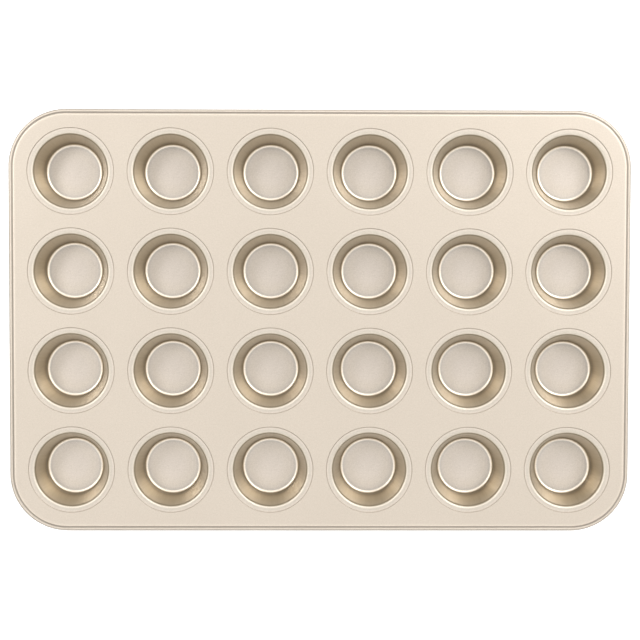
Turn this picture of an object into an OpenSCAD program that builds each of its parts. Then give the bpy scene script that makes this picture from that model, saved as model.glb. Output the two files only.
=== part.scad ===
// Mini muffin tin: one deep-drawn steel sheet with a grid of round cups,
// its edge rolled over a stiffening wire.
//
// Frame: +X along the rows of cups, +Y across them, +Z up out of the cups.
// The origin is on the plane the tin stands on, at the middle of its outline.
// The sheet is stored in pieces that meet face to face: the top plate with its
// rolled edge, and one cup for each hole in it. The wire is a separate piece.

/* [Grid of cups] */
// Number of rows of cups, counted along Y
rows = 4; // [1:1:6]
// Number of cups in each row, counted along X
columns = 6; // [1:1:9]
// Distance between the centres of neighbouring cups
cup_pitch = 62.5; // [58:0.5:80]
// Distance from the centre of an outer cup to the outside of the rim
edge_margin = 38.75; // [34:0.25:60]

/* [Sheet] */
// Thickness of the steel sheet
sheet = 0.65; // [0.4:0.05:0.8]

/* [Cups] */
// Depth of a cup, from the top of the plate to the top of its floor
cup_depth = 22; // [14:0.5:40]
// Diameter of the pressed ring that runs round each mouth
ring_d = 54.8; // [52:0.1:56]
// Depth of the step at the pressed ring
ring_step = 0.475; // [0.2:0.025:0.6]
// Width of the flat band between the pressed ring and the shoulder
band = 2.1; // [0.5:0.1:3]
// Radius of the shoulder that turns down into the cup
shoulder_r = 1.95; // [1.3:0.05:4]
// How far the wall leans outwards, for every 63 mm that it rises
wall_lean = 16; // [8:1:20]
// Radius between the wall and the floor
floor_fillet = 1.95; // [0.65:0.05:3.9]

/* [Rolled rim] */
// Radius of the tin's corners, at the outside of the rim
corner_r = 36; // [20:1:38]
// Outside diameter of the rolled bead
bead_d = 2.6; // [2.2:0.1:4]
// Radius of the bend where the plate turns down towards the rim
edge_bend_r = 1.3; // [1:0.1:3]
// How far the sheet falls towards the groove, for every 4 mm outwards
edge_fall = 3; // [1:0.5:4]
// Length of that slope
edge_length = 0.75; // [0.25:0.05:2]
// Radius in the bottom of the groove behind the bead
groove_r = 0.15; // [0.1:0.05:1]
// How far the sheet climbs out of the groove, for every 4 mm outwards
bead_climb = 3; // [1:0.5:4]
// Angle of sheet wrapped round the wire, from the groove to the cut edge
wrap = 300; // [200:5:305]

/* [Finish] */
// Colour of the coated sheet
sheet_colour = "#E2D3BE"; // [#E2D3BE:champagne, #4A4A4C:charcoal, #C8C9CB:bare steel]
// Colour of the wire inside the rim
wire_colour = "#9A9C9E"; // [#9A9C9E:zinc, #6E6F70:black iron]

/* [Hidden] */
$fn = 96;

// Overall size
pan_l = (columns - 1) * cup_pitch + 2 * edge_margin;
pan_w = (rows - 1) * cup_pitch + 2 * edge_margin;
height = cup_depth + sheet;

// Corner centres: a corner can't be wider than the margin allows
corner = min(corner_r, edge_margin - 0.5);
corner_x = pan_l / 2 - corner;
corner_y = pan_w / 2 - corner;

// Rolled rim, followed outwards along the middle of the sheet. Positions are
// [outwards from where the plate ends, up from the top of the plate].
fall_a = atan2(edge_fall, 4);
climb_a = atan2(bead_climb, 4);
bead_r = bead_d / 2;
wire_r = bead_r - sheet;
bead_mid = bead_r - sheet / 2;
bend_mid = edge_bend_r - sheet / 2;
groove_mid = groove_r + sheet / 2;
bend_centre = [0, -edge_bend_r];
bend_end = [bend_mid * sin(fall_a), -edge_bend_r + bend_mid * cos(fall_a)];
slope_end = bend_end + edge_length * [cos(fall_a), -sin(fall_a)];
groove_centre = slope_end + groove_mid * [sin(fall_a), cos(fall_a)];
climb_end = groove_centre + groove_mid * [sin(climb_a), -cos(climb_a)];
bead_centre = climb_end + bead_mid * [sin(climb_a), -cos(climb_a)];
rim_reach = bead_centre[0] + bead_r;

// Distance from a corner's centre to the end of the flat plate
flat_end = corner - rim_reach;

// Cup section: positions are [outwards from the cup's axis, up from the top
// of the plate], on the inner face of the sheet.
wall_a = atan2(wall_lean, 63);
ring_r = ring_d / 2;
step_out = ring_r - 0.15;
step_in = step_out - 0.4;
shoulder_x = step_in - band;
shoulder_z = -ring_step - shoulder_r;
wall_top = [shoulder_x - shoulder_r * cos(wall_a),
            shoulder_z + shoulder_r * sin(wall_a)];
fillet_z = -cup_depth + floor_fillet;
wall_foot_z = fillet_z - floor_fillet * sin(wall_a);
wall_foot = [wall_top[0] - (wall_top[1] - wall_foot_z) * wall_lean / 63,
             wall_foot_z];
fillet_x = wall_foot[0] - floor_fillet * cos(wall_a);
// from the inner face of the wall to its outer face
through = sheet * [cos(wall_a), -sin(wall_a)];

function cup_name(r, c) = str("cup_r", r, "_c", c);
function cup_at(r, c) = [(c - (columns + 1) / 2) * cup_pitch,
                         ((rows + 1) / 2 - r) * cup_pitch];

// ---------- 2D helpers ----------

// A wedge from the origin between two angles, less than 180 degrees apart
module wedge(a0, a1, r) {
    m = (a0 + a1) / 2;
    f = r / cos((a1 - a0) / 4);
    polygon([[0, 0], r * [cos(a0), sin(a0)],
             f * [cos((a0 + m) / 2), sin((a0 + m) / 2)], r * [cos(m), sin(m)],
             f * [cos((a1 + m) / 2), sin((a1 + m) / 2)], r * [cos(a1), sin(a1)]]);
}

// The part of a ring between two angles, less than 180 degrees apart
module ring_arc(inner, outer, a0, a1) {
    intersection() {
        difference() {
            circle(r = outer);
            circle(r = inner);
        }
        wedge(a0, a1, outer * 2);
    }
}

// A straight strip of sheet that starts at a point and falls at an angle
module strip(from, fall, length) {
    translate(from)
        rotate([0, 0, -fall])
            translate([0, -sheet / 2])
                square([length, sheet]);
}

// ---------- Rim ----------

// Section of the plate's edge, from a corner's centre out to the bead
module edge_section() {
    translate([0, -sheet])
        square([flat_end, sheet]);
    translate([flat_end, 0]) {
        translate(bend_centre)
            ring_arc(edge_bend_r - sheet, edge_bend_r, 90 - fall_a, 90);
        strip(bend_end, fall_a, edge_length);
        translate(groove_centre)
            ring_arc(groove_r, groove_r + sheet, 270 - fall_a, 270 + climb_a);
        translate(bead_centre)
            difference() {
                circle(r = bead_r);
                circle(r = wire_r);
                wedge(90 + climb_a, 90 + climb_a + (360 - wrap), bead_r * 2);
            }
    }
}

// Carries a section of the edge all the way round the tin: straight along the
// four sides and turned through a quarter circle at each corner
module round_the_edge() {
    for (side = [0:3]) {
        long = side % 2 == 0 ? corner_x : corner_y;
        out = side % 2 == 0 ? corner_y : corner_x;
        rotate([0, 0, 90 * side])
            translate([long, -out, 0])
                rotate([90, 0, -90])
                    linear_extrude(height = 2 * long)
                        children();
    }
    for (sx = [0, 1]) for (sy = [0, 1])
        translate([(2 * sx - 1) * corner_x, (2 * sy - 1) * corner_y, 0])
            rotate([0, 0, sx == 1 ? (sy == 1 ? 0 : 270) : (sy == 1 ? 90 : 180)])
                rotate_extrude(angle = 90)
                    children();
}

// ---------- Cup ----------

// Section of a cup, from its axis out to the pressed ring
module cup_section() {
    // rim of the cup: the small step at the pressed ring, and the flat band
    polygon([[ring_r, 0], [step_out, 0], [step_in, -ring_step],
             [shoulder_x, -ring_step], [shoulder_x, -ring_step - sheet],
             [step_in + 0.15, -ring_step - sheet], [ring_r, -sheet]]);
    // shoulder
    translate([shoulder_x, shoulder_z])
        ring_arc(shoulder_r - sheet, shoulder_r, 90, 180 - wall_a);
    // wall
    polygon([wall_top, wall_foot, wall_foot + through, wall_top + through]);
    // floor fillet
    translate([fillet_x, fillet_z])
        ring_arc(floor_fillet, floor_fillet + sheet, 270, 360 - wall_a);
    // floor
    translate([0, -cup_depth - sheet])
        square([fillet_x, sheet]);
}

// ---------- Sub-parts ----------

// The flat plate between the cups, with its edge rolled down and under
module top_plate() {
    color(sheet_colour)
        translate([0, 0, height])
            difference() {
                union() {
                    translate([-corner_x, -corner_y, -sheet])
                        cube([2 * corner_x, 2 * corner_y, sheet]);
                    round_the_edge() edge_section();
                }
                for (r = [1:rows]) for (c = [1:columns])
                    translate([cup_at(r, c)[0], cup_at(r, c)[1], -sheet - 1])
                        cylinder(r = ring_r, h = sheet + 2);
            }
}

// One cup, in the given row and column
module cup(r, c) {
    color(sheet_colour)
        translate([cup_at(r, c)[0], cup_at(r, c)[1], height])
            rotate_extrude()
                cup_section();
}

// The closed loop of wire that the edge is rolled round
module rim_wire() {
    color(wire_colour)
        translate([0, 0, height])
            round_the_edge()
                translate([flat_end + bead_centre[0], bead_centre[1]])
                    circle(r = wire_r);
}

top_plate();
for (r = [1:rows]) for (c = [1:columns])
    cup(r, c);
rim_wire();
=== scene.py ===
import math

import bmesh
import bpy
from mathutils import Matrix, Vector
from mathutils.geometry import delaunay_2d_cdt


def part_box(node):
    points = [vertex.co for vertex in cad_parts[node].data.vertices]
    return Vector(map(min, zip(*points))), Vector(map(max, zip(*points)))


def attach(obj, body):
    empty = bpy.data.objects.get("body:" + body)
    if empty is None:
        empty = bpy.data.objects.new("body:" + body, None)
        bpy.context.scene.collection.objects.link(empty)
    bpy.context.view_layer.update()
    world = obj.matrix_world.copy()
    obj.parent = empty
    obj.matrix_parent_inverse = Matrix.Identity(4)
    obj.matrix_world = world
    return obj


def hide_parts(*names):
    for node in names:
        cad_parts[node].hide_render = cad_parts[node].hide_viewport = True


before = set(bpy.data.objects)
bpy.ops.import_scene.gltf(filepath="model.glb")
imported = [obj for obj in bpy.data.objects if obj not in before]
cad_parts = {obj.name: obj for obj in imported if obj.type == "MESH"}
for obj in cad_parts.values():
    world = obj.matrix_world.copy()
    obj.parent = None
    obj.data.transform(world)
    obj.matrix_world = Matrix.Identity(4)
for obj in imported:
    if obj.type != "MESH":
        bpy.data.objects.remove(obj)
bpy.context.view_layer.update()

MM = 0.001

# ---------------------------------------------------------------- sizes, from the frame

plate_lo, plate_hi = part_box("top_plate")
HALF_L = (plate_hi.x - plate_lo.x) / 2 / MM
HALF_W = (plate_hi.y - plate_lo.y) / 2 / MM
TOP = plate_hi.z / MM
CUPS = {}
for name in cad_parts:
    if name.startswith("cup_"):
        lo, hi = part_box(name)
        CUPS[name] = ((lo.x + hi.x) / 2 / MM, (lo.y + hi.y) / 2 / MM)
ring_lo, ring_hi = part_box("cup_r1_c1")
RING_R = (ring_hi.x - ring_lo.x) / 2 / MM

SHEET = 0.65
DEPTH = TOP - SHEET
CORNER = 36.0
ROUND = 128  # steps round a cup

# the rolled rim, from the end of the flat plate outwards; z from the top of the plate
FALL = math.atan2(3, 4)
BEND_R, GROOVE_R, BEAD_R = 1.3, 0.15, 1.3
WIRE_R = BEAD_R - SHEET
BEND_C = (0.0, -BEND_R)
GROOVE_C = (1.47, -0.59)
BEAD_C = (2.34, -1.75)
REACH = BEAD_C[0] + BEAD_R
WRAP = math.radians(300)
FLAT_END = CORNER - REACH

# the cup, from its axis outwards; z from the top of the plate
STEP = 0.475
STEP_OUT, STEP_IN = RING_R - 0.15, RING_R - 0.55
SHOULDER_R = 1.95
LEAN = math.atan2(16, 63)
SHOULDER_C = (STEP_IN - 2.1, -STEP - SHOULDER_R)
FILLET_R = 1.95
FILLET_C = (16.25, -DEPTH + FILLET_R)


def arc(centre, r, a0, a1, n):
    """Points on an arc, from angle a0 to a1 in radians, both ends included."""
    return [
        (
            centre[0] + r * math.cos(a0 + (a1 - a0) * k / n),
            centre[1] + r * math.sin(a0 + (a1 - a0) * k / n),
        )
        for k in range(n + 1)
    ]


def chain(*runs):
    """One path from several, without repeated points."""
    out = []
    for run in runs:
        for p in run:
            if not out or math.dist(out[-1], p) > 1e-4:
                out.append(p)
    return out


def between(a, b, n):
    """n points strictly between a and b."""
    return [
        (a[0] + (b[0] - a[0]) * k / (n + 1), a[1] + (b[1] - a[1]) * k / (n + 1))
        for k in range(1, n + 1)
    ]


def make_object(name, bm, smooth_below=32.0):
    bmesh.ops.recalc_face_normals(bm, faces=bm.faces)
    limit = math.radians(smooth_below)
    for f in bm.faces:
        f.smooth = True
    for e in bm.edges:
        if len(e.link_faces) == 2:
            e.smooth = e.calc_face_angle(0.0) < limit
    mesh = bpy.data.meshes.new(name)
    bm.to_mesh(mesh)
    bm.free()
    obj = bpy.data.objects.new(name, mesh)
    bpy.context.scene.collection.objects.link(obj)
    return obj


# ---------------------------------------------------------------- rim section


def rim_outer_face():
    """The face of the sheet that shows: over the bend, through the groove, round the bead to its cut edge."""
    d90 = math.pi / 2
    return chain(
        arc(BEND_C, BEND_R, d90, d90 - FALL, 7),
        arc(GROOVE_C, GROOVE_R, 3 * d90 - FALL, 3 * d90 + FALL, 5),
        arc(BEAD_C, BEAD_R, d90 + FALL, d90 + FALL - WRAP, 40),
    )


def rim_inner_face():
    """The face of the sheet that lies against the wire, from the cut edge back to the plate."""
    d90 = math.pi / 2
    return chain(
        arc(BEAD_C, WIRE_R, d90 + FALL - WRAP, d90 + FALL, 30),
        arc(GROOVE_C, GROOVE_R + SHEET, 3 * d90 + FALL, 3 * d90 - FALL, 8),
        arc(BEND_C, BEND_R - SHEET, d90 - FALL, d90, 5),
    )


def rim_section():
    outer, inner = rim_outer_face(), rim_inner_face()
    # the cut edge is dressed: its two corners are slightly rounded
    a, b = outer[-1], inner[0]
    d = ((b[0] - a[0]) / SHEET, (b[1] - a[1]) / SHEET)
    t = (
        math.sin(math.pi / 2 + FALL - WRAP),
        -math.cos(math.pi / 2 + FALL - WRAP),
    )
    edge = []
    for s in (0.0, 0.13, 0.325, 0.52, SHEET):
        out = 0.12 * math.sin(math.pi * s / SHEET)
        edge.append((a[0] + d[0] * s + t[0] * out, a[1] + d[1] * s + t[1] * out))
    return chain(outer[:-1], edge, inner[1:])


def loop_round(distance, per_corner=32, along=16):
    """Points round the tin's outline, anticlockwise, at a distance from the corners' centres."""
    cx, cy = HALF_L - CORNER, HALF_W - CORNER
    pts = []
    corners = [(cx, cy, 0), (-cx, cy, 90), (-cx, -cy, 180), (cx, -cy, 270)]
    for i, (x, y, a0) in enumerate(corners):
        for k in range(per_corner + 1):
            a = math.radians(a0 + 90 * k / per_corner)
            pts.append((x + distance * math.cos(a), y + distance * math.sin(a)))
        nx, ny, na = corners[(i + 1) % 4]
        a = math.radians(na)
        end = (nx + distance * math.cos(a), ny + distance * math.sin(a))
        pts += between(pts[-1], end, along)
    return pts


# ---------------------------------------------------------------- top plate


def build_plate():
    """The flat plate with its holes, the rolled edge all round, and the thickness of the sheet."""
    section = rim_section()
    # a narrow flat band inside the border keeps the wide faces perfectly flat in the light
    border = loop_round(FLAT_END - 0.4)
    n_b = len(border)
    points = [Vector(p) for p in border]
    edges = [(k, (k + 1) % n_b) for k in range(n_b)]
    holes = []
    for cx, cy in CUPS.values():
        first = len(points)
        for k in range(ROUND):
            a = 2 * math.pi * k / ROUND
            points.append(
                Vector((cx + RING_R * math.cos(a), cy + RING_R * math.sin(a)))
            )
        holes.append(list(range(first, first + ROUND)))
        edges += [(first + k, first + (k + 1) % ROUND) for k in range(ROUND)]
    flat, _, tris, _, _, _ = delaunay_2d_cdt(points, edges, [], 1, 1e-6)
    assert len(flat) == len(points)
    # a triangle with all its corners on one hole's edge lies in that hole
    owner = [-1] * n_b + [h for h in range(len(holes)) for _ in range(ROUND)]
    tris = [
        t
        for t in tris
        if owner[t[0]] < 0 or len({owner[i] for i in t}) > 1
    ]

    bm = bmesh.new()
    top = [bm.verts.new((p.x * MM, p.y * MM, TOP * MM)) for p in points]
    under = [bm.verts.new((p.x * MM, p.y * MM, (TOP - SHEET) * MM)) for p in points]
    for t in tris:
        bm.faces.new([top[i] for i in t])
        bm.faces.new([under[i] for i in reversed(t)])
    for hole in holes:
        for k in range(ROUND):
            a, b = hole[k], hole[(k + 1) % ROUND]
            bm.faces.new((top[a], top[b], under[b], under[a]))
    rings = [top[:n_b]]
    for s, z in section:
        rings.append(
            [
                bm.verts.new((x * MM, y * MM, (TOP + z) * MM))
                for x, y in loop_round(FLAT_END + s)
            ]
        )
    rings.append(under[:n_b])
    for one, two in zip(rings, rings[1:]):
        for k in range(n_b):
            j = (k + 1) % n_b
            bm.faces.new((one[k], one[j], two[j], two[k]))
    bmesh.ops.join_triangles(
        bm,
        faces=[f for f in bm.faces if len(f.verts) == 3],
        angle_face_threshold=0.01,
        angle_shape_threshold=0.9,
        cmp_seam=False,
        cmp_sharp=False,
        cmp_uvs=False,
        cmp_vcols=False,
        cmp_materials=False,
    )
    return make_object("pressed_plate", bm)


# ---------------------------------------------------------------- cups


def wall_points(a, b):
    """Points down the straight wall, with one close to each end so that the bends don't shade it."""
    return [
        (a[0] + (b[0] - a[0]) * t, a[1] + (b[1] - a[1]) * t)
        for t in (0.012, 0.1, 0.2, 0.3, 0.4, 0.5, 0.6, 0.7, 0.8, 0.9, 0.988)
    ]


def cup_inner_face():
    """The face of the sheet that the batter touches, from the pressed ring to the axis."""
    d90 = math.pi / 2
    q = math.atan2(STEP, STEP_OUT - STEP_IN)
    r1 = 0.11  # the pressed ring's two edges aren't quite sharp
    run = r1 * math.tan(q / 2)
    ring = chain(
        [(RING_R, 0.0)],
        arc((STEP_OUT + run, -r1), r1, d90, d90 + q, 4),
        arc((STEP_IN - run, -STEP + r1), r1, 3 * d90 + q, 3 * d90, 4),
        [(STEP_IN - 0.3, -STEP), (SHOULDER_C[0] + 0.15, -STEP)],
    )
    shoulder = arc(SHOULDER_C, SHOULDER_R, d90, 2 * d90 - LEAN, 14)
    fillet = arc(FILLET_C, FILLET_R, 4 * d90 - LEAN, 3 * d90, 10)
    wall = wall_points(shoulder[-1], fillet[0])
    floor = [(r, -DEPTH) for r in (16.35, 15.6, 14.0, 11.5, 8.5, 5.5, 2.5)]
    return chain(ring, shoulder, wall, fillet, floor)


def cup_outer_face():
    """The underside of the cup, from the axis back to the pressed ring."""
    d90 = math.pi / 2
    z = -DEPTH - SHEET
    floor = [(r, z) for r in (2.5, 5.5, 8.5, 11.5, 14.0, 15.6, 16.35)]
    fillet = arc(FILLET_C, FILLET_R + SHEET, 3 * d90, 4 * d90 - LEAN, 12)
    shoulder = arc(SHOULDER_C, SHOULDER_R - SHEET, 2 * d90 - LEAN, d90, 12)
    wall = wall_points(fillet[-1], shoulder[0])
    return chain(
        floor,
        fillet,
        wall,
        shoulder,
        [(STEP_IN + 0.15, -STEP - SHEET), (RING_R, -SHEET)],
    )


def build_cup(name, centre):
    inner, outer = cup_inner_face(), cup_outer_face()
    bm = bmesh.new()
    path = inner + [None] + [None] + outer
    rings = []
    for p in path:
        if p is None:
            rings.append(None)
            continue
        rings.append(
            [
                bm.verts.new(
                    (
                        p[0] * math.cos(2 * math.pi * k / ROUND) * MM,
                        p[0] * math.sin(2 * math.pi * k / ROUND) * MM,
                        p[1] * MM,
                    )
                )
                for k in range(ROUND)
            ]
        )
    for one, two in zip(rings, rings[1:]):
        if one is None or two is None:
            continue
        for k in range(ROUND):
            j = (k + 1) % ROUND
            bm.faces.new((one[k], two[k], two[j], one[j]))
    first, last = rings[0], rings[-1]
    for k in range(ROUND):
        j = (k + 1) % ROUND
        bm.faces.new((first[k], first[j], last[j], last[k]))
    for ring, z in ((rings[len(inner) - 1], -DEPTH), (rings[len(inner) + 2], -TOP)):
        hub = bm.verts.new((0, 0, z * MM))
        for k in range(ROUND):
            bm.faces.new((ring[k], ring[(k + 1) % ROUND], hub))
    obj = make_object(name, bm)
    obj.location = (centre[0] * MM, centre[1] * MM, TOP * MM)
    return obj


# ---------------------------------------------------------------- rim wire


def build_wire():
    """The closed loop of wire inside the bead."""
    bm = bmesh.new()
    d = FLAT_END + BEAD_C[0]
    around = 20
    rings = []
    for k in range(around):
        a = 2 * math.pi * k / around
        rings.append(
            [
                bm.verts.new(
                    (x * MM, y * MM, (TOP + BEAD_C[1] + WIRE_R * 0.995 * math.sin(a)) * MM)
                )
                for x, y in loop_round(d + WIRE_R * 0.995 * math.cos(a))
            ]
        )
    n = len(rings[0])
    for i in range(around):
        one, two = rings[i], rings[(i + 1) % around]
        for k in range(n):
            j = (k + 1) % n
            bm.faces.new((one[k], one[j], two[j], two[k]))
    return make_object("rim_wire_loop", bm)


# ---------------------------------------------------------------- materials


class Nodes:
    """Short calls for building a node tree."""

    def __init__(self, name):
        self.mat = bpy.data.materials.new(name)
        self.mat.use_nodes = True
        self.tree = self.mat.node_tree
        self.tree.nodes.clear()
        self.out = self.tree.nodes.new("ShaderNodeOutputMaterial")

    def add(self, kind, **values):
        node = self.tree.nodes.new("ShaderNode" + kind)
        for key, value in values.items():
            if hasattr(node, key):
                setattr(node, key, value)
            else:
                node.inputs[key.replace("_", " ")].default_value = value
        return node

    def link(self, a, b):
        self.tree.links.new(a, b)

    def math(self, op, a, b=None, c=None, clamp=False):
        node = self.tree.nodes.new("ShaderNodeMath")
        node.operation, node.use_clamp = op, clamp
        for i, v in enumerate((a, b, c)):
            if v is None:
                continue
            if isinstance(v, (int, float)):
                node.inputs[i].default_value = v
            else:
                self.link(v, node.inputs[i])
        return node.outputs[0]

    def ramp(self, value, low, high, out_low=0.0, out_high=1.0):
        node = self.tree.nodes.new("ShaderNodeMapRange")
        node.clamp = True
        self.link(value, node.inputs["Value"])
        for key, v in (
            ("From Min", low),
            ("From Max", high),
            ("To Min", out_low),
            ("To Max", out_high),
        ):
            node.inputs[key].default_value = v
        return node.outputs["Result"]

    def length(self, a, b):
        return self.math(
            "SQRT", self.math("ADD", self.math("MULTIPLY", a, a), self.math("MULTIPLY", b, b))
        )

    def curve(self, value, stops):
        """A colour that changes in straight steps between (value, colour) stops."""
        low, high = stops[0][0], stops[-1][0]
        node = self.tree.nodes.new("ShaderNodeValToRGB")
        self.link(self.ramp(value, low, high), node.inputs["Fac"])
        ramp = node.color_ramp
        while len(ramp.elements) < len(stops):
            ramp.elements.new(0.5)
        for element, (v, _) in zip(ramp.elements, stops):
            element.position = (v - low) / (high - low)
        for element, (_, c) in zip(ramp.elements, stops):
            element.color = (c[0] / 2, c[1] / 2, c[2] / 2, 1.0)  # a ramp's colours stop at 1
        double = self.tree.nodes.new("ShaderNodeVectorMath")
        double.operation = "SCALE"
        double.inputs["Scale"].default_value = 2.0
        self.link(node.outputs["Color"], double.inputs[0])
        return double.outputs[0]

    def noise(self, vector, scale, detail=2.0, rough=0.5):
        node = self.tree.nodes.new("ShaderNodeTexNoise")
        self.link(vector, node.inputs["Vector"])
        node.inputs["Scale"].default_value = scale
        node.inputs["Detail"].default_value = detail
        node.inputs["Roughness"].default_value = rough
        return node.outputs["Fac"]

    def mix(self, factor, a, b):
        node = self.tree.nodes.new("ShaderNodeMix")
        node.data_type = "RGBA"
        for socket, v in (
            (node.inputs["Factor"], factor),
            (node.inputs[6], a),
            (node.inputs[7], b),
        ):
            if isinstance(v, (int, float, tuple)):
                socket.default_value = v
            else:
                self.link(v, socket)
        return node.outputs[2]


BASE = (0.518, 0.457, 0.386, 1.0)
WARM = (0.450, 0.392, 0.324, 1.0)
PALE = (0.585, 0.522, 0.450, 1.0)

# how light the coating is drawn against the plate's, along a cup's section from its axis outwards:
# # (mm from the axis, red, green, blue). This is painted light and shade: greyer on the floor, a
# # painted shade at the floor's edge, a painted highlight on the bend round the floor, painted shade
# # in a dark band at the foot of the wall and darker towards the bottom of the wall, which is also
# # yellower there, a painted shade line at the top of the wall, a painted highlight on the shoulder
# # at the mouth, and a painted shade line on the pressed ring.
CUP_PAINTED_LIGHT = (
    (0.0, 1.02, 1.03, 1.07),
    (6.4, 1.04, 1.05, 1.09),
    (12.2, 1.06, 1.07, 1.09),
    (14.7, 1.05, 1.07, 1.11),
    (15.5, 0.95, 0.98, 1.03),
    (16.1, 1.03, 1.07, 1.14),
    (16.6, 1.55, 1.60, 1.60),
    (17.1, 1.60, 1.60, 1.60),
    (17.5, 1.12, 1.11, 1.05),
    (17.9, 0.64, 0.61, 0.49),
    (18.3, 0.43, 0.38, 0.30),
    (18.6, 0.43, 0.38, 0.30),
    (18.9, 0.540, 0.473, 0.314),
    (19.3, 0.710, 0.640, 0.484),
    (20.0, 0.830, 0.768, 0.598),
    (20.9, 0.880, 0.837, 0.674),
    (21.8, 0.940, 0.906, 0.769),
    (22.5, 0.990, 0.965, 0.845),
    (22.9, 0.760, 0.729, 0.627),
    (23.2, 0.710, 0.680, 0.580),
    (23.5, 1.06, 1.08, 1.03),
    (23.9, 1.29, 1.32, 1.32),
    (24.4, 1.03, 1.05, 1.05),
    (25.2, 0.95, 0.97, 0.98),
    (26.3, 1.06, 1.07, 1.09),
    (26.75, 0.97, 0.97, 0.97),
    (27.0, 0.83, 0.81, 0.80),
    (27.3, 0.93, 0.93, 0.92),
)
# the same across the rolled edge, painted light and shade: a painted highlight on the bend, painted
# # shade in the groove, a painted highlight on the bead's crown and painted shade down its outer side:
# # (mm outwards from where the flat plate ends, tone)
EDGE_PAINTED_LIGHT = (
    (-1.2, 1.00),
    (-0.2, 1.06),
    (0.3, 1.30),
    (0.7, 1.16),
    (1.1, 0.78),
    (1.35, 0.58),
    (1.65, 0.58),
    (1.95, 0.85),
    (2.3, 1.16),
    (2.8, 0.96),
    (3.2, 0.72),
    (3.6, 0.60),
)


def coating(name, cup):
    """Champagne non-stick coating: mica in a satin clear resin over steel. Fine orange peel and
    faint flecks everywhere, with the cup's or the rolled edge's table of painted light and shade over them."""
    n = Nodes(name)
    bsdf = n.add("BsdfPrincipled")
    n.link(bsdf.outputs[0], n.out.inputs["Surface"])
    coords = n.add("TexCoord").outputs["Object"]
    xyz = n.add("SeparateXYZ")
    n.link(coords, xyz.inputs[0])
    x, y, z = xyz.outputs

    flecks = n.noise(coords, 2600.0, 2.0, 0.6)
    grain = n.noise(coords, 1100.0, 3.0, 0.6)
    cloud = n.noise(coords, 26.0, 3.0, 0.55)

    tone = n.math(
        "ADD", n.math("MULTIPLY", flecks, 0.5), n.math("MULTIPLY", grain, 0.5)
    )
    colour = n.mix(n.ramp(tone, 0.36, 0.64), WARM, PALE)
    rough = n.ramp(grain, 0.3, 0.7, 0.50, 0.58)
    height = n.math(
        "ADD", n.math("MULTIPLY", grain, 0.7), n.math("MULTIPLY", flecks, 0.3)
    )
    if cup:
        r = n.length(x, y)
        on_wall = n.math(
            "MULTIPLY", n.ramp(z, -0.0207, -0.0197), n.ramp(z, -0.0018, -0.0032)
        )
        on_floor = n.math(
            "MULTIPLY", n.ramp(z, -0.0206, -0.0216), n.ramp(r, 0.0176, 0.0166)
        )
        colour = n.mix(n.math("ADD", n.math("MULTIPLY", on_wall, 0.58), n.math("SUBTRACT", 0.35, n.math("MULTIPLY", on_floor, 0.15))), colour, BASE)
        # streaks run down the wall: the noise changes round the cup, and hardly with height
        safe = n.math("MAXIMUM", r, 0.001)
        around = n.add("CombineXYZ")
        n.link(n.math("DIVIDE", x, safe), around.inputs[0])
        n.link(n.math("DIVIDE", y, safe), around.inputs[1])
        n.link(n.math("MULTIPLY", z, 3.0), around.inputs[2])
        streak = n.noise(around.outputs[0], 22.0, 2.0, 0.55)
        colour = n.mix(
            n.math("MULTIPLY", on_wall, n.ramp(streak, 0.4, 0.62, 0.0, 0.30)),
            colour,
            WARM,
        )
        # drawing has smoothed the grain out of the wall
        rough = n.math(
            "MULTIPLY_ADD",
            n.math("SUBTRACT", rough, 0.54),
            n.math("SUBTRACT", 1.0, n.math("MULTIPLY", on_wall, 0.95)),
            0.54,
        )
        rough = n.math(
            "ADD",
            n.math("SUBTRACT", rough, n.math("MULTIPLY", on_floor, 0.10)),
            n.math("MULTIPLY", on_wall, n.ramp(streak, 0.35, 0.65, -0.24, -0.20)),
        )
        height = n.math(
            "MULTIPLY", height, n.math("SUBTRACT", 1.0, n.math("MULTIPLY", on_wall, 0.95))
        )
        # painted light and shade along the cup's section, multiplied into the coating's colour
        shade = n.curve(
            r, [(q[0] * MM, (q[1], q[2], q[3])) for q in CUP_PAINTED_LIGHT]
        )
    else:
        colour = n.mix(0.35, colour, BASE)
        # distance outwards from where the flat plate ends
        qx = n.math("SUBTRACT", n.math("ABSOLUTE", x), (HALF_L - CORNER) * MM)
        qy = n.math("SUBTRACT", n.math("ABSOLUTE", y), (HALF_W - CORNER) * MM)
        out = n.length(n.math("MAXIMUM", qx, 0.0), n.math("MAXIMUM", qy, 0.0))
        inside = n.math("MINIMUM", n.math("MAXIMUM", qx, qy), 0.0)
        reach = n.math("ADD", out, inside)
        # painted light and shade across the rolled edge, multiplied into the coating's colour
        shade = n.curve(
            reach, [((FLAT_END + q[0]) * MM, (q[1], q[1], q[1])) for q in EDGE_PAINTED_LIGHT]
        )
    colour = n.mix(n.ramp(cloud, 0.35, 0.65, 0.0, 0.12), colour, WARM)
    mult = n.tree.nodes.new("ShaderNodeMix")
    mult.data_type, mult.blend_type = "RGBA", "MULTIPLY"
    mult.inputs["Factor"].default_value = 1.0
    n.link(colour, mult.inputs[6])
    n.link(shade, mult.inputs[7])
    n.link(mult.outputs[2], bsdf.inputs["Base Color"])
    n.link(rough, bsdf.inputs["Roughness"])
    bsdf.inputs["Metallic"].default_value = 0.85
    bsdf.inputs["IOR"].default_value = 1.5
    bsdf.inputs["Coat Weight"].default_value = 0.12
    bsdf.inputs["Coat Roughness"].default_value = 0.22
    bump = n.add("Bump")
    bump.inputs["Strength"].default_value = 0.10
    bump.inputs["Distance"].default_value = 0.00004
    n.link(height, bump.inputs["Height"])
    n.link(bump.outputs[0], bsdf.inputs["Normal"])
    return n.mat


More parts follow.
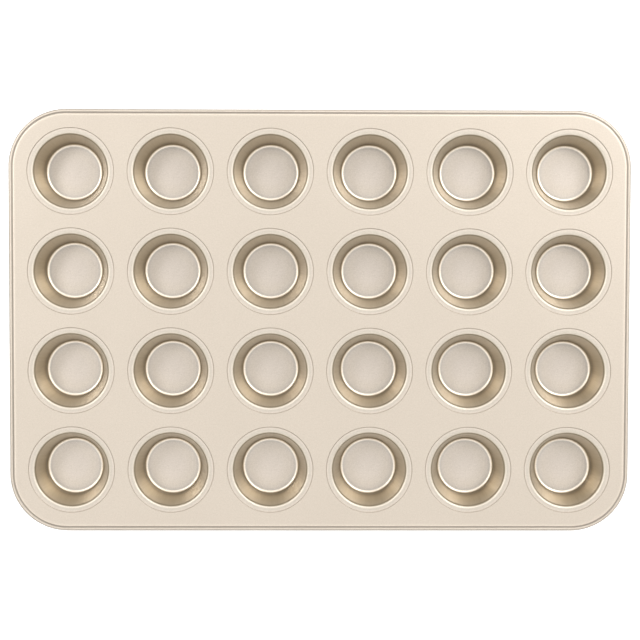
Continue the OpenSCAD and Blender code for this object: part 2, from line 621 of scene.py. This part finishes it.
def wire_metal():
    """Bright drawn steel wire."""
    n = Nodes("drawn_wire")
    bsdf = n.add("BsdfPrincipled")
    n.link(bsdf.outputs[0], n.out.inputs["Surface"])
    coords = n.add("TexCoord").outputs["Object"]
    fine = n.noise(coords, 1500.0, 3.0, 0.6)
    n.link(
        n.mix(n.ramp(fine, 0.3, 0.7), (0.42, 0.42, 0.43, 1.0), (0.60, 0.60, 0.61, 1.0)),
        bsdf.inputs["Base Color"],
    )
    n.link(n.ramp(fine, 0.3, 0.7, 0.28, 0.42), bsdf.inputs["Roughness"])
    bsdf.inputs["Metallic"].default_value = 1.0
    return n.mat


# ---------------------------------------------------------------- pieces

plate_mat = coating("champagne_plate", cup=False)
cup_mat = coating("champagne_cup", cup=True)
wire_mat = wire_metal()

plate = build_plate()
plate.data.materials.append(plate_mat)
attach(plate, "root")
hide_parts("top_plate")

for name, centre in CUPS.items():
    cup = build_cup("drawn_" + name, centre)
    cup.data.materials.append(cup_mat)
    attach(cup, "root")
    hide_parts(name)

wire = build_wire()
wire.data.materials.append(wire_mat)
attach(wire, "root")
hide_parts("rim_wire")

# ---------------------------------------------------------------- stage


def build_floor():
    bm = bmesh.new()
    bmesh.ops.create_grid(bm, x_segments=8, y_segments=8, size=6.0)
    for v in bm.verts:
        v.co.z = -0.0002
    floor = make_object("floor", bm)
    n = Nodes("white_floor")
    bsdf = n.add("BsdfPrincipled")
    n.link(bsdf.outputs[0], n.out.inputs["Surface"])
    bsdf.inputs["Base Color"].default_value = (0.93, 0.93, 0.93, 1.0)
    bsdf.inputs["Roughness"].default_value = 0.9
    bsdf.inputs["Specular IOR Level"].default_value = 0.0
    bsdf.inputs["Emission Color"].default_value = (1.0, 1.0, 1.0, 1.0)
    bsdf.inputs["Emission Strength"].default_value = 0.35
    floor.data.materials.append(n.mat)
    return floor


build_floor()

scene = bpy.context.scene
world = bpy.data.worlds.new("studio")
world.use_nodes = True
# a white tent: even overhead, and brighter low down, where its sides are lit
sky = world.node_tree
up = sky.nodes.new("ShaderNodeSeparateXYZ")
sky.links.new(sky.nodes.new("ShaderNodeTexCoord").outputs["Generated"], up.inputs[0])
side = sky.nodes.new("ShaderNodeMapRange")
sky.links.new(up.outputs[2], side.inputs["Value"])
for key, v in (("From Min", 0.0), ("From Max", 0.55), ("To Min", 1.05), ("To Max", 0.67)):
    side.inputs[key].default_value = v
sky.nodes["Background"].inputs["Color"].default_value = (1.0, 1.0, 1.0, 1.0)
sky.links.new(side.outputs["Result"], sky.nodes["Background"].inputs["Strength"])
scene.world = world


def softbox(name, at, size, power, target=(0.0, 0.0, 0.02), colour=(1.0, 1.0, 1.0)):
    light = bpy.data.lights.new(name, "AREA")
    light.shape = "RECTANGLE"
    light.size, light.size_y = size
    light.energy = power
    light.color = colour
    obj = bpy.data.objects.new(name, light)
    obj.location = at
    if target != "down":
        direction = Vector(target) - Vector(at)
        obj.rotation_euler = direction.to_track_quat("-Z", "Y").to_euler()
    scene.collection.objects.link(obj)
    return obj



softbox("left", (-1.20, 0.58, 1.5), (0.55, 0.70), 19.0, "down")
softbox("left_inner", (-0.52, 0.25, 1.5), (0.45, 1.00), 1.1, "down")
softbox("top", (0.35, 1.75, 1.5), (1.30, 0.50), 9.0, "down")
softbox("right", (1.25, 1.15, 1.5), (0.60, 1.70), 33.0, "down")
softbox("right_inner", (0.66, 0.60, 1.5), (0.45, 0.55), 5.0, "down")
softbox("front", (0.0, -0.85, 1.5), (1.80, 1.00), 8.0, "down")

scene.view_settings.view_transform = "Standard"
scene.view_settings.look = "None"
scene.view_settings.exposure = 0.0
scene.view_settings.gamma = 1.0

# ---------------------------------------------------------------- camera

cam_data = bpy.data.cameras.new("photo_camera")
cam = bpy.data.objects.new("photo_camera", cam_data)
scene.collection.objects.link(cam)
scene.camera = cam
cam_data.sensor_width = 36.0
cam_data.lens = 1711.2 / 640 * 36.0
cam_data.clip_start, cam_data.clip_end = 0.05, 50.0


def turn(axis, degrees):
    return Matrix.Rotation(math.radians(degrees), 3, axis)


# the tin seen from straight above, then tipped by a few degrees
tip = turn("Z", 0.106) @ turn("Y", -0.736) @ turn("X", 2.781)
flip = Matrix(((1, 0, 0), (0, -1, 0), (0, 0, -1)))
to_cam = tip @ flip
shift = Vector((0.034, 0.868, 1074.8)) * MM
place = -(to_cam.transposed() @ shift)
turned = (flip @ to_cam).transposed()
cam.matrix_world = Matrix.Translation(place + Vector((0, 0, TOP * MM))) @ turned.to_4x4()

# ---------------------------------------------------------------- finish

bpy.context.view_layer.update()
